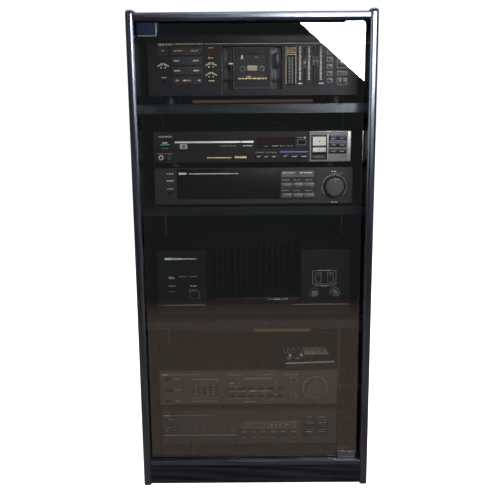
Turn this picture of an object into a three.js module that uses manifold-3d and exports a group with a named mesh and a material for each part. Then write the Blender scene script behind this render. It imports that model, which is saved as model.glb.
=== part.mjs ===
// Hi-fi rack: a tall cabinet with a smoked glass door, holding six full-width audio units
// and a small mixer. Millimetres, +Z up, front facing -Y, origin on the floor under the
// centre of the cabinet.

import * as THREE from 'three';
import { mergeVertices } from 'three/addons/utils/BufferGeometryUtils.js';
import Module from 'manifold-3d';

const wasm = await Module();
wasm.setup();

// ---------- driving dimensions ----------

const CABINET = { width: 500, depth: 440, height: 1023, board: 16 };
const INNER_HALF = CABINET.width / 2 - CABINET.board;
const FRONT = -CABINET.depth / 2;
const GAP = 0.4; // air between neighbouring solids
const EDGE_ROUND = 5; // bull-nose on the boards' edges

const TOP_PANEL = { underside: 1001, thickness: 16, frontInset: 1 };
const BOTTOM_PANEL = { top: 57, thickness: 13, frontInset: 3 };
const PLINTH = { height: 43.6, frontInset: 7, thickness: 16 };
const BACK = { thickness: 4, inset: 6 };
const CABLE_CUTOUT = { width: 310, height: 34, levels: [209, 596, 827] };
const SHELF = { thickness: 19, rearGap: 26 };
const SHELVES = {
  shelf_upper: { top: 837, front: 98 },
  shelf_middle: { top: 615, front: 100 },
  shelf_lower: { top: 357, front: 86 },
};

const GLASS = { left: -231, right: 226, bottom: 61, top: 996, thickness: 5, front: 15 };
const GRIP_PLAY = 0.3; // air between the glass and the metal folded over it
const CLIP = { width: 38, height: 12, lip: 2.2, over: 2.2, fromRight: 3 };
const PIVOT = { fromRight: 9, radius: 2.5, length: 6 };
const SOCKET = { radius: 6, depth: 7, proud: 0.6, play: 0.35, floor: 1.5 };
const STRIKE = { width: 38, height: 24, lip: 2, over: 1.8, fromLeft: 3 };
const CATCH = { width: 44, height: 16, depth: 22, behindStrike: 1.2 };

// distance of each fascia's front face behind the cabinet's front edge
const DECK = { left: -224, right: 226, bottom: 855, top: 981, front: 120, depth: 285, foot: 17.5 };
const CD = { left: -217, right: 214, bottom: 712, top: 778.5, front: 112, depth: 290, foot: 12 };
const PREAMP = { left: -217, right: 219, bottom: 620, top: 699.5, front: 112, depth: 300, foot: 4.6 };
const POWER = {
  left: -219, right: 218, bottom: 362, ledge: 388.5, top: 515, front: 112, depth: 300, foot: 4.6,
};
const EQ_AMP = { left: -216, right: 187, bottom: 165, top: 244, front: 66, depth: 285, foot: 15.6 };
const TUNER = { left: -213, right: 187, bottom: 67, top: 149, front: 66, depth: 260, foot: 9.6 };
const MIXER = { x: 127, back: 70, width: 115, depth: 122, height: 17, turn: 5, rise: 0.4 };

const FASCIA = 12; // thickness of every fascia
const KEY_TRAVEL = 2.5;
const FOOT = { radius: 15, fromSide: 42, fromFront: 28, fromBack: 40 };
const SLIDER = { proud: 6.5, stemHalf: 0.9, slotHalf: 1.4, slotDepth: 7.5 };
const SPINDLE = { radius: 3, length: 5, wellRadius: 3.5, wellDepth: 7.5 };
const JACK_RADIUS = 3.3; // for a 6.3 mm plug

// ---------- solids ----------

const toSolid = (geometry) => {
  const bare = geometry.clone();
  bare.deleteAttribute('normal');
  bare.deleteAttribute('uv');
  const merged = mergeVertices(bare, 1e-4);
  return new wasm.Manifold(new wasm.Mesh({
    numProp: 3,
    vertProperties: Float32Array.from(merged.attributes.position.array),
    triVerts: Uint32Array.from(merged.index.array),
  }));
};

const toGeometry = (solid) => {
  const mesh = solid.getMesh();
  const geometry = new THREE.BufferGeometry();
  geometry.setAttribute('position', new THREE.BufferAttribute(mesh.vertProperties, 3));
  geometry.setIndex(new THREE.BufferAttribute(mesh.triVerts, 1));
  geometry.computeVertexNormals();
  return geometry;
};

// box from its low and high corners
const block = (low, high) => {
  const size = high.map((value, i) => value - low[i]);
  const geometry = new THREE.BoxGeometry(...size);
  geometry.translate(...low.map((value, i) => value + size[i] / 2));
  return geometry;
};

// cylinder with its axis along Y, from its front face backwards
const roundAlongY = (x, front, z, radius, length, sides = 32) => {
  const geometry = new THREE.CylinderGeometry(radius, radius, length, sides);
  geometry.translate(0, length / 2, 0);
  return geometry.translate(x, front, z);
};

const uprightRound = (x, y, bottom, radius, height, sides = 24) => {
  const geometry = new THREE.CylinderGeometry(radius, radius, height, sides);
  geometry.rotateX(Math.PI / 2);
  return geometry.translate(x, y, bottom + height / 2);
};

const cut = (body, ...tools) =>
  toGeometry(tools.reduce((solid, tool) => solid.subtract(toSolid(tool)), toSolid(body)));

const join = (body, ...extras) =>
  toGeometry(extras.reduce((solid, extra) => solid.add(toSolid(extra)), toSolid(body)));

// rectangle with round corners, centred on x, y
const roundedRectangle = (width, height, radius) => {
  const shape = new THREE.Shape();
  const [w, h] = [width / 2, height / 2];
  shape.moveTo(-w + radius, -h);
  shape.lineTo(w - radius, -h);
  shape.absarc(w - radius, -h + radius, radius, -Math.PI / 2, 0);
  shape.lineTo(w, h - radius);
  shape.absarc(w - radius, h - radius, radius, 0, Math.PI / 2);
  shape.lineTo(-w + radius, h);
  shape.absarc(-w + radius, h - radius, radius, Math.PI / 2, Math.PI);
  shape.lineTo(-w, -h + radius);
  shape.absarc(-w + radius, -h + radius, radius, Math.PI, Math.PI * 1.5);
  return shape;
};

// slab whose large faces look along Z, with bull-nosed rims
const softSlab = (width, depth, thickness, corner, round) => {
  const shape = roundedRectangle(width - 2 * round, depth - 2 * round, corner);
  const geometry = new THREE.ExtrudeGeometry(shape, {
    depth: thickness - 2 * round,
    bevelThickness: round,
    bevelSize: round,
    bevelSegments: 3,
    curveSegments: 4,
  });
  return geometry.translate(0, 0, round - thickness / 2);
};

const material = (color, roughness, metalness = 0, opacity = 1) =>
  new THREE.MeshStandardMaterial({ color, roughness, metalness, opacity, transparent: opacity < 1 });

const LOOK = {
  ash: material(0x11161a, 0.45),
  glass: material(0x1a1d1e, 0.05, 0, 0.4),
  chrome: material(0xd8dcde, 0.15, 1),
  steel: material(0x14161a, 0.5, 0.6),
  charcoal: material(0x24262b, 0.45, 0.3),
  black: material(0x0d0e10, 0.4),
  silver: material(0x8d8f90, 0.4, 0.6),
  cream: material(0x9a978c, 0.5),
  red: material(0xa82a1c, 0.5),
  tape: material(0x2b2a28, 0.35),
};

const rack = new THREE.Group();

const add = (name, geometry, look) => {
  const mesh = new THREE.Mesh(geometry, look);
  mesh.name = name;
  rack.add(mesh);
  return mesh;
};

const glassFront = FRONT + GLASS.front;
const glassBack = glassFront + GLASS.thickness;
const pivotX = GLASS.right - PIVOT.fromRight;
const pivotY = glassFront + GLASS.thickness / 2;

// ---------- cabinet ----------

// upright side board: round along the front, the top and the back, square on the floor
const addSidePanel = (name, side) => {
  const slab = softSlab(CABINET.depth, CABINET.height + 20, CABINET.board, 6, EDGE_ROUND);
  slab.rotateX(Math.PI / 2).rotateZ(Math.PI / 2);
  slab.translate(side * (INNER_HALF + CABINET.board / 2), 0, CABINET.height / 2 - 10);
  add(name, cut(slab, block([-300, -300, -40], [300, 300, 0])), LOOK.ash);
};

// level board between the sides: bull-nosed front, square ends, one hole for a pivot socket
const levelBoard = (frontInset, underside, thickness, holeFoot) => {
  const half = INNER_HALF - GAP;
  const depth = CABINET.depth - frontInset - BACK.inset;
  const slab = softSlab(2 * half + 40, depth, thickness, 2, EDGE_ROUND);
  slab.translate(0, FRONT + frontInset + depth / 2, underside + thickness / 2);
  const ends = [[-300, -half], [half, 300]].map(([left, right]) =>
    block([left, -300, underside - 10], [right, 300, underside + thickness + 10]));
  const pivotHole = uprightRound(pivotX, pivotY, holeFoot, SOCKET.radius + GAP, 20);
  return cut(slab, ...ends, pivotHole);
};

const addTopPanel = () => {
  const { frontInset, underside, thickness } = TOP_PANEL;
  const holeFoot = underside + 10 - 20;
  add('top_panel', levelBoard(frontInset, underside, thickness, holeFoot), LOOK.ash);
};

const addBottomPanel = () => {
  const { frontInset, top, thickness } = BOTTOM_PANEL;
  const holeFoot = top - SOCKET.depth - 2;
  add('bottom_panel', levelBoard(frontInset, top - thickness, thickness, holeFoot), LOOK.ash);
};

const addPlinth = () => {
  const y = FRONT + PLINTH.frontInset;
  const half = INNER_HALF - GAP;
  add('plinth_board', block([-half, y, 1], [half, y + PLINTH.thickness, PLINTH.height]), LOOK.ash);
};

// hardboard back with a wide cable cut-out behind each shelf level
const addBackPanel = () => {
  const rear = CABINET.depth / 2 - BACK.inset;
  const half = INNER_HALF - GAP;
  const floor = BOTTOM_PANEL.top + GAP;
  const panel = block([-half, rear - BACK.thickness, floor], [half, rear, TOP_PANEL.underside - GAP]);
  const openings = CABLE_CUTOUT.levels.map((z) => block(
    [-CABLE_CUTOUT.width / 2, rear - 20, z - CABLE_CUTOUT.height / 2],
    [CABLE_CUTOUT.width / 2, rear + 20, z + CABLE_CUTOUT.height / 2]));
  add('back_panel', cut(panel, ...openings), LOOK.steel);
};

const addShelf = (name, { top, front }) => {
  const half = INNER_HALF - GAP;
  const y = FRONT + front;
  const rear = CABINET.depth / 2 - BACK.inset - BACK.thickness - SHELF.rearGap;
  add(name, block([-half, y, top - SHELF.thickness], [half, rear, top]), LOOK.ash);
};

// ---------- glass door ----------

const addGlass = () => {
  add('door_glass', block(
    [GLASS.left, glassFront, GLASS.bottom], [GLASS.right, glassBack, GLASS.top]), LOOK.glass);
};

// folded metal clip that grips a corner of the glass and carries the pivot pin
const addHingeClip = (name, atTop) => {
  const right = GLASS.right - CLIP.fromRight;
  const left = right - CLIP.width;
  const edge = atTop ? GLASS.top : GLASS.bottom;
  const outward = atTop ? 1 : -1;
  const span = (a, b) => [Math.min(a, b), Math.max(a, b)];
  const [low, high] = span(edge + outward * CLIP.over, edge - outward * CLIP.height);
  const shell = block([left, glassFront - CLIP.lip, low], [right, glassBack + CLIP.lip, high]);
  const [slotLow, slotHigh] = span(edge + outward * GRIP_PLAY, edge - outward * (CLIP.height + 5));
  const slot = block(
    [left - 5, glassFront - GRIP_PLAY, slotLow], [right + 5, glassBack + GRIP_PLAY, slotHigh]);
  const pinFoot = atTop ? edge + 1 : edge - 1 - PIVOT.length;
  const pin = uprightRound(pivotX, pivotY, pinFoot, PIVOT.radius, PIVOT.length);
  add(name, join(cut(shell, slot), pin), LOOK.chrome);
};

// cup let into the board, in which the pivot pin turns
const addHingeSocket = (name, atTop) => {
  const mouth = atTop ? TOP_PANEL.underside - SOCKET.proud : BOTTOM_PANEL.top + SOCKET.proud;
  const foot = atTop ? mouth : mouth - SOCKET.depth;
  const cup = uprightRound(pivotX, pivotY, foot, SOCKET.radius, SOCKET.depth);
  const holeDepth = SOCKET.depth - SOCKET.floor;
  const holeFoot = atTop ? mouth - 1 : mouth - holeDepth;
  const hole = uprightRound(pivotX, pivotY, holeFoot, PIVOT.radius + SOCKET.play, holeDepth + 1);
  add(name, cut(cup, hole), LOOK.steel);
};

// chrome plate pressed over the free top corner, for the magnet
const addStrikePlate = () => {
  const left = GLASS.left + STRIKE.fromLeft;
  const right = left + STRIKE.width;
  const bottom = GLASS.top - STRIKE.height;
  const shell = block(
    [left, glassFront - STRIKE.lip, bottom], [right, glassBack + STRIKE.lip, GLASS.top + STRIKE.over]);
  const slot = block(
    [left - 5, glassFront - GRIP_PLAY, bottom - 5],
    [right + 5, glassBack + GRIP_PLAY, GLASS.top + GRIP_PLAY]);
  add('door_strike_plate', cut(shell, slot), LOOK.chrome);
};

const addMagneticCatch = () => {
  const left = GLASS.left + STRIKE.fromLeft;
  const y = glassBack + STRIKE.lip + CATCH.behindStrike;
  const top = TOP_PANEL.underside - GAP;
  add('magnetic_catch', block(
    [left - 2, y, top - CATCH.height], [left - 2 + CATCH.width, y + CATCH.depth, top]), LOOK.black);
};

// ---------- shared pieces of the audio units ----------

const faceY = (unit) => FRONT + unit.front;

// fascia slab with its openings cut out of it
const addFascia = (name, unit, look, openings, low = unit.bottom, high = unit.top) => {
  const y = faceY(unit);
  const slab = block([unit.left, y, low], [unit.right, y + FASCIA, high]);
  add(name, openings.length ? cut(slab, ...openings) : slab, look);
};

// sheet-metal case behind the fascia, standing on four round feet
const caseWithFeet = (unit, inset = 4, low = unit.bottom + 1, high = unit.top - 1.5) => {
  const y = faceY(unit) + FASCIA + GAP;
  const rear = faceY(unit) + unit.depth;
  const body = block([unit.left + inset, y, low], [unit.right - inset, rear, high]);
  const feet = [];
  for (const x of [unit.left + FOOT.fromSide, unit.right - FOOT.fromSide]) {
    for (const footY of [y + FOOT.fromFront, rear - FOOT.fromBack]) {
      feet.push(uprightRound(x, footY, unit.bottom - unit.foot, FOOT.radius, unit.foot + 5, 20));
    }
  }
  return join(body, ...feet);
};

// a key standing proud of the fascia, and the pocket that it travels in
const KEY = { proud: 3, sunk: 5, play: 0.45 };
const addKey = (name, unit, [x0, z0, x1, z1], look, proud = KEY.proud) => {
  const y = faceY(unit);
  add(name, block([x0, y - proud, z0], [x1, y + KEY.sunk, z1]), look);
  return keyPocket(unit, [x0, z0, x1, z1]);
};

const keyPocket = (unit, [x0, z0, x1, z1]) => {
  const y = faceY(unit);
  const p = KEY.play;
  return block([x0 - p, y - 1, z0 - p], [x1 + p, y + KEY.sunk + KEY_TRAVEL + 0.5, z1 + p]);
};

// knob on a short spindle; the fascia has a round well for the spindle
const addKnob = (name, unit, x, z, radius, length, look, sides = 48) => {
  const y = faceY(unit);
  const whole = length + SPINDLE.length;
  const outline = [
    [0, 0], [radius - 1, 0], [radius, 1], [radius, length - 1], [radius - 0.6, length],
    [SPINDLE.radius, length], [SPINDLE.radius, whole], [0, whole],
  ].map(([r, h]) => new THREE.Vector2(r, h));
  const knob = new THREE.LatheGeometry(outline, sides);
  add(name, knob.translate(x, y - length - 0.5, z), look);
  return roundAlongY(x, y - 1, z, SPINDLE.wellRadius, SPINDLE.wellDepth);
};

// slot in a fascia with a slider handle standing out of it
const addSlider = (name, unit, x, [slotLow, slotHigh], z, [width, height], look) => {
  const y = faceY(unit);
  const handle = block(
    [x - width / 2, y - SLIDER.proud, z - height / 2], [x + width / 2, y - 0.6, z + height / 2]);
  const stem = block([x - SLIDER.stemHalf, y - 2, z - 1.5], [x + SLIDER.stemHalf, y + 6, z + 1.5]);
  add(name, join(handle, stem), look);
  return block(
    [x - SLIDER.slotHalf, y - 1, slotLow], [x + SLIDER.slotHalf, y + SLIDER.slotDepth, slotHigh]);
};

const headphoneJack = (unit, x, z) => roundAlongY(x, faceY(unit) - 1, z, JACK_RADIUS, FASCIA - 1);

// ---------- cassette deck ----------

const DECK_DOOR = { left: -41, right: 40.5, bottom: 870, top: 956, shelf: 10 };
const DECK_WELL = { left: -66, right: 64, bottom: 868.4, top: 959, depth: 34 };
const CASSETTE = { width: 81, height: 64, thickness: 9, hubs: { apart: 42.5, up: 31.5, radius: 4.6 } };

const addDeck = () => {
  const y = faceY(DECK);
  const doorMid = (DECK_DOOR.left + DECK_DOOR.right) / 2;
  const holes = [];
  holes.push(addKey('deck_power_button', DECK, [-200, 940, -181, 959], LOOK.black));
  const rowFeet = [941, 920.4, 899.8, 879.2];
  rowFeet.forEach((z, i) => {
    holes.push(addKey(`deck_transport_key_row_${i + 1}`, DECK, [-172.5, z, -105.5, z + 17], LOOK.charcoal));
  });
  const slot = [878, 957];
  holes.push(addSlider('deck_input_fader', DECK, 112, slot, 922, [7.5, 22], LOOK.silver));
  holes.push(addSlider('deck_level_fader_left', DECK, 130.8, slot, 926, [6.6, 20], LOOK.silver));
  holes.push(addSlider('deck_level_fader_right', DECK, 138.4, slot, 926, [6.6, 20], LOOK.silver));
  holes.push(headphoneJack(DECK, -190, 886.5));
  // cassette well, open through the fascia
  const wellBox = (from, to) => block(
    [DECK_WELL.left, from, DECK_WELL.bottom], [DECK_WELL.right, to, DECK_WELL.top]);
  holes.push(wellBox(y - 1, y + FASCIA + 1));
  addFascia('deck_fascia', DECK, LOOK.charcoal, holes);
  const well = wellBox(y + FASCIA - 1, y + FASCIA + DECK_WELL.depth);
  add('deck_case', cut(caseWithFeet(DECK), well), LOOK.steel);

  // door lid with side cheeks that hold the cassette behind the window
  const lid = block(
    [DECK_DOOR.left, y - 2, DECK_DOOR.bottom], [DECK_DOOR.right, y + 3, DECK_DOOR.top]);
  const pane = block(
    [DECK_DOOR.left + 9, y - 3, DECK_DOOR.bottom + 24], [DECK_DOOR.right - 9, y + 4, DECK_DOOR.top - 14]);
  const shelf = block(
    [DECK_DOOR.left, y + 2, DECK_DOOR.bottom], [DECK_DOOR.right, y + 16, DECK_DOOR.bottom + DECK_DOOR.shelf]);
  add('deck_cassette_door', join(cut(lid, pane), shelf), LOOK.charcoal);

  const tapeFront = y + 3.6;
  const tapeFoot = DECK_DOOR.bottom + DECK_DOOR.shelf + 0.6;
  const tape = block(
    [doorMid - CASSETTE.width / 2, tapeFront, tapeFoot],
    [doorMid + CASSETTE.width / 2, tapeFront + CASSETTE.thickness, tapeFoot + CASSETTE.height]);
  const { apart, up, radius } = CASSETTE.hubs;
  const hubs = [-apart / 2, apart / 2].map((dx) =>
    roundAlongY(doorMid + dx, y, tapeFoot + up, radius, 20, 16));
  add('deck_cassette', cut(tape, ...hubs), LOOK.tape);
};

// ---------- compact disc player ----------

const TRAY = { left: -170, right: -27, bottom: 740, top: 758.5, length: 150, play: 0.5 };
const DISC = { wellRadius: 61, behindFace: 76 };

const addCdPlayer = () => {
  const y = faceY(CD);
  const holes = [];
  holes.push(addKey('cd_power_key', CD, [-203, 746, -180.5, 758], LOOK.black));
  holes.push(addKey('cd_play_key', CD, [129.7, 746.2, 160, 767.2], LOOK.cream));
  holes.push(addKey('cd_pause_key', CD, [129.7, 732.8, 160, 743.8], LOOK.cream));
  holes.push(addKey('cd_stop_key', CD, [129.7, 718.5, 160, 727.5], LOOK.black));
  holes.push(addKey('cd_open_key', CD, [-25, 740, 1.5, 758.5], LOOK.black, 1.5));
  holes.push(headphoneJack(CD, -201.5, 723.2));
  const [left, right, bottom] = [TRAY.left - TRAY.play, TRAY.right + TRAY.play, TRAY.bottom - TRAY.play];
  holes.push(block([left, y - 1, bottom], [right, y + FASCIA + 1, TRAY.top + TRAY.play]));
  addFascia('cd_fascia', CD, LOOK.black, holes);

  const bay = block([left, y, bottom], [right, y + TRAY.length + 4, TRAY.top + 3]);
  add('cd_case', cut(caseWithFeet(CD, 3), bay), LOOK.steel);

  const mid = (TRAY.left + TRAY.right) / 2;
  const front = block([TRAY.left, y - 1.5, TRAY.bottom], [TRAY.right, y + 5, TRAY.top]);
  const plate = block([mid - 67, y + 4, TRAY.bottom + 1], [mid + 67, y + TRAY.length, TRAY.bottom + 7]);
  const discWell = uprightRound(mid, y + DISC.behindFace, TRAY.bottom + 4.5, DISC.wellRadius, 4, 64);
  const slot = block([mid - 9, y + 50, TRAY.bottom - 1], [mid + 9, y + TRAY.length - 12, TRAY.bottom + 9]);
  add('cd_tray', cut(join(front, plate), discWell, slot), LOOK.black);
};

// ---------- preamplifier ----------

const addPreamp = () => {
  const holes = [];
  holes.push(addKey('preamp_mode_key', PREAMP, [61.6, 679, 96.6, 693], LOOK.silver));
  holes.push(addKey('preamp_tape_key', PREAMP, [99.2, 679, 134.2, 693], LOOK.silver));
  holes.push(addKnob('preamp_volume_knob', PREAMP, 179, 657, 21, 16, LOOK.charcoal));
  holes.push(headphoneJack(PREAMP, -185, 645));
  addFascia('preamp_fascia', PREAMP, LOOK.charcoal, holes);
  add('preamp_case', caseWithFeet(PREAMP, 3), LOOK.steel);
};

// ---------- power amplifier ----------

const TOWER = { leftInner: -108, rightInner: 107, depth: 190, setback: 2.5 };
const HEAT_SINK = { front: 88, below: 12, plate: 22, fins: 15, finHalf: 1.2 };

const addPowerAmp = () => {
  const y = faceY(POWER);
  const base = caseWithFeet(POWER, 0, POWER.bottom + 3, POWER.ledge - 1);
  const ledge = block([POWER.left, y - 1, POWER.bottom + 3], [POWER.right, y + FASCIA + 2, POWER.ledge]);
  add('power_amp_base', join(base, ledge), LOOK.steel);

  const foot = POWER.ledge + GAP;
  const face = y + TOWER.setback;
  const towerBack = face + TOWER.depth;
  const knobUnit = { ...POWER, front: POWER.front + TOWER.setback };
  const knobWells = [
    addKnob('power_amp_level_knob_left', knobUnit, 136, 414, 7.5, 11, LOOK.charcoal, 32),
    addKnob('power_amp_level_knob_right', knobUnit, 184.5, 414, 7.5, 11, LOOK.charcoal, 32),
  ];
  const power = addKey('power_amp_power_button', knobUnit, [-144, 404.6, -125.5, 416.3], LOOK.black);
  const right = block([TOWER.rightInner, face, foot], [POWER.right, towerBack, POWER.top]);
  const left = block([POWER.left, face, foot], [TOWER.leftInner, towerBack, POWER.top]);
  add('power_amp_left_tower', cut(left, power), LOOK.black);
  add('power_amp_right_tower', cut(right, ...knobWells), LOOK.black);

  // finned heat sink between the towers
  const sinkLeft = TOWER.leftInner + 2;
  const sinkRight = TOWER.rightInner - 2;
  const crown = POWER.top - HEAT_SINK.below;
  const plate = block([sinkLeft, towerBack - HEAT_SINK.plate, foot], [sinkRight, towerBack, crown]);
  const pitch = (sinkRight - sinkLeft - 4) / (HEAT_SINK.fins - 1);
  const fins = Array.from({ length: HEAT_SINK.fins }, (_, i) => {
    const x = sinkLeft + 2 + i * pitch;
    return block(
      [x - HEAT_SINK.finHalf, y + HEAT_SINK.front, foot],
      [x + HEAT_SINK.finHalf, towerBack - HEAT_SINK.plate + 2, crown]);
  });
  add('power_amp_heat_sink', join(plate, ...fins), LOOK.black);
};

// ---------- integrated amplifier with five-band equaliser ----------

const EQ_BANDS = [
  { x: -140.3, z: 194.2 }, { x: -126.9, z: 202.9 }, { x: -114.3, z: 197.7 },
  { x: -100.8, z: 205.1 }, { x: -87.1, z: 197.5 },
];

const addEqAmp = () => {
  const holes = [];
  EQ_BANDS.forEach(({ x, z }, i) => {
    holes.push(addSlider(`eq_amp_band_slider_${i + 1}`, EQ_AMP, x, [184, 218], z, [6, 6.5], LOOK.red));
  });
  holes.push(addKnob('eq_amp_volume_knob', EQ_AMP, 137.5, 202.5, 22.5, 15, LOOK.charcoal));
  addFascia('eq_amp_fascia', EQ_AMP, LOOK.black, holes);
  add('eq_amp_case', caseWithFeet(EQ_AMP, 2, EQ_AMP.bottom + 1, EQ_AMP.top), LOOK.steel);
};

// ---------- tuner ----------

const addTuner = () => {
  const holes = [];
  holes.push(addKey('tuner_preset_bar', TUNER, [-210, 87, -44, 94], LOOK.charcoal, 2.5));
  addFascia('tuner_fascia', TUNER, LOOK.black, holes);
  add('tuner_case', caseWithFeet(TUNER, 2), LOOK.steel);
};

// ---------- small desk mixer, lying a little turned on the integrated amplifier ----------

const addMixer = () => {
  const { width, depth, height } = MIXER;
  const profile = new THREE.Shape();
  profile.moveTo(0, 0);
  profile.lineTo(depth, 0);
  profile.lineTo(depth, height);
  profile.lineTo(6, height - 3);
  profile.lineTo(0, height - 9);
  const wedge = new THREE.ExtrudeGeometry(profile, { depth: width, bevelEnabled: false });
  wedge.translate(0, 0, -width / 2);
  wedge.rotateX(Math.PI / 2).rotateZ(Math.PI / 2);
  const body = add('mixer_body', wedge, LOOK.charcoal);
  body.rotation.z = THREE.MathUtils.degToRad(MIXER.turn);
  body.position.set(MIXER.x, FRONT + MIXER.back, EQ_AMP.top + MIXER.rise);
};

addSidePanel('side_panel_left', -1);
addSidePanel('side_panel_right', 1);
addTopPanel();
addBottomPanel();
addPlinth();
addBackPanel();
Object.entries(SHELVES).forEach(([name, size]) => addShelf(name, size));
addGlass();
addHingeClip('door_hinge_clip_top', true);
addHingeClip('door_hinge_clip_bottom', false);
addHingeSocket('hinge_socket_top', true);
addHingeSocket('hinge_socket_bottom', false);
addStrikePlate();
addMagneticCatch();
addDeck();
addCdPlayer();
addPreamp();
addPowerAmp();
addEqAmp();
addTuner();
addMixer();

export default rack;
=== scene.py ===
"""Looks for a hi-fi rack: black ash cabinet, smoked glass door, six audio units and a small mixer."""

import math
import random

import bmesh
import bpy
from mathutils import Matrix, Vector


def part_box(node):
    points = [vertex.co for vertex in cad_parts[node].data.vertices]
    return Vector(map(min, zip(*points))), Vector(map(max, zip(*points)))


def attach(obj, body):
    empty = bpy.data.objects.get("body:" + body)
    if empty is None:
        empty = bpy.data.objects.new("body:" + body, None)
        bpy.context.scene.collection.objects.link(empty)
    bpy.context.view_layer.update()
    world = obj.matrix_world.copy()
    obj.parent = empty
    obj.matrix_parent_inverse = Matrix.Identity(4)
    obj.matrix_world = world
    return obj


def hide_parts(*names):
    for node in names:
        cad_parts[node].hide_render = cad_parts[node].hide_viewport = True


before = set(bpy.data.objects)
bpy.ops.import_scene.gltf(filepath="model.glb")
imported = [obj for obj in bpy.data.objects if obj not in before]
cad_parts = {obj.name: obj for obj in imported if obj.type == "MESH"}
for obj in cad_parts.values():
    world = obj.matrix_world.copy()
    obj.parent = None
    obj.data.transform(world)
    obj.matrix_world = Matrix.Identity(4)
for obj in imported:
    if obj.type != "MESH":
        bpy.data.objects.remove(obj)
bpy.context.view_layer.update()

MM = 0.001
CABINET_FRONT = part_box("side_panel_left")[0][1]
FLOOR_IN_FRONT = 1.52  # how far the floor reaches before the cabinet, in metres
PAST_GLASS = 0.32  # brightness of the surroundings seen through the door
SMOOTH_BELOW = math.radians(40)
CAD_SMOOTH_BELOW = math.radians(35)
BREAK_ABOVE = math.radians(50)
INK_LIFT, INK_SINK = 0.12, 0.05  # how far print stands out and reaches in, in millimetres

LOOKS = {}


class Graph:
    """Node tree of a material or a world, with short ways to add and join nodes."""

    def __init__(self, name, world=False):
        self.block = (bpy.data.worlds if world else bpy.data.materials).new(name)
        self.block.use_nodes = True
        self.tree = self.block.node_tree
        self.tree.nodes.clear()
        self.out = self.node("OutputWorld" if world else "OutputMaterial")
        if not world:
            LOOKS[name] = self.block

    def node(self, kind, **settings):
        node = self.tree.nodes.new("ShaderNode" + kind)
        for key, value in settings.items():
            setattr(node, key, value)
        return node

    def shader(self, kind, **values):
        """A node with these values on its inputs; a socket's spaces are written as underscores."""
        node = self.node(kind)
        for key, value in values.items():
            node.inputs[key.replace("_", " ")].default_value = value
        return node

    def link(self, source, target):
        """Joins a socket, or a node's first output, to an input."""
        self.tree.links.new(source if hasattr(source, "is_linked") else source.outputs[0], target)

    def finish(self, surface):
        self.link(surface, self.out.inputs["Surface"])

    def mix(self, factor, first, second):
        node = self.node("MixShader")
        for source, target in zip((factor, first, second), node.inputs):
            self.link(source, target)
        return node

    def math(self, operation, *terms):
        """Arithmetic on sockets and plain numbers."""
        node = self.node("Math", operation=operation)
        for term, target in zip(terms, node.inputs):
            if isinstance(term, float):
                target.default_value = term
            else:
                self.link(term, target)
        return node.outputs[0]

    def coordinates(self, scale=(1, 1, 1)):
        mapping = self.shader("Mapping", Scale=scale)
        self.link(self.node("TexCoord").outputs["Object"], mapping.inputs["Vector"])
        return mapping.outputs["Vector"]

    def noise(self, vector, scale, detail=4.0, rough=0.55):
        node = self.shader("TexNoise", Scale=scale, Detail=detail, Roughness=rough)
        self.link(vector, node.inputs["Vector"])
        return node.outputs["Fac"]

    def ramp(self, value, stops):
        node = self.node("ValToRGB")
        ramp = node.color_ramp
        while len(ramp.elements) < len(stops):
            ramp.elements.new(0.5)
        for element, (place, color) in zip(ramp.elements, stops):
            element.position = place
            element.color = (*color, 1)
        self.link(value, node.inputs["Fac"])
        return node.outputs["Color"]

    def span(self, value, low, high, start=0.0, end=1.0):
        """Carries a value from the range start to end over to low to high."""
        node = self.shader("MapRange", From_Min=start, From_Max=end, To_Min=low, To_Max=high)
        self.link(value, node.inputs["Value"])
        return node.outputs["Result"]

    def bump(self, height, strength, distance):
        node = self.shader("Bump", Strength=strength, Distance=distance)
        self.link(height, node.inputs["Height"])
        return node.outputs["Normal"]

    def principled(self, **values):
        node = self.shader("BsdfPrincipled", **values)
        self.finish(node)
        return node


# ---- camera, stage and light


def make_camera():
    """Eye a little under the cabinet's top, looking slightly down at its whole front."""
    lens_mm, sensor_mm = 52.886, 36.0
    pitch, yaw, roll = math.radians(12.053), math.radians(-0.142), math.radians(-0.457)
    eye = Vector((0.0002, CABINET_FRONT - 1.5175, 0.8584))
    forward = Vector((math.sin(yaw) * math.cos(pitch), math.cos(yaw) * math.cos(pitch), -math.sin(pitch)))
    level = Vector((math.cos(yaw), -math.sin(yaw), 0))
    up = level.cross(forward)
    right = math.cos(roll) * level + math.sin(roll) * up
    top = math.cos(roll) * up - math.sin(roll) * level
    data = bpy.data.cameras.new("camera")
    data.lens = lens_mm
    data.sensor_width = sensor_mm
    data.clip_end = 30
    camera = bpy.data.objects.new("camera", data)
    turn = Matrix((right, top, -forward)).transposed()
    camera.matrix_world = Matrix.Translation(eye) @ turn.to_4x4()
    bpy.context.collection.objects.link(camera)
    bpy.context.scene.camera = camera


def area_light(name, place, target, size, power, color=(1, 1, 1)):
    data = bpy.data.lights.new(name, "AREA")
    data.shape = "RECTANGLE"
    data.size, data.size_y = size
    data.energy = power
    data.color = color
    lamp = bpy.data.objects.new(name, data)
    aim = (Vector(target) - Vector(place)).to_track_quat("-Z", "Y").to_matrix().to_4x4()
    lamp.matrix_world = Matrix.Translation(place) @ aim
    bpy.context.collection.objects.link(lamp)
    return lamp


def make_world():
    """White to the eye, and a dim room to all that it lights or that mirrors it."""
    g = Graph("studio", world=True)
    bpy.context.scene.world = g.block
    path = g.node("LightPath")
    room = g.shader("Background", Color=(0.87, 0.94, 1.0, 1), Strength=0.13)
    white = g.shader("Background", Color=(1.0, 1.0, 0.985, 1), Strength=1.05)
    dimmed = g.shader("Background", Color=(1.0, 1.0, 1.0, 1), Strength=PAST_GLASS)
    passed = g.math("GREATER_THAN", path.outputs["Transparent Depth"], 0.5)
    g.finish(g.mix(path.outputs["Is Camera Ray"], room, g.mix(passed, white, dimmed)))


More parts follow.
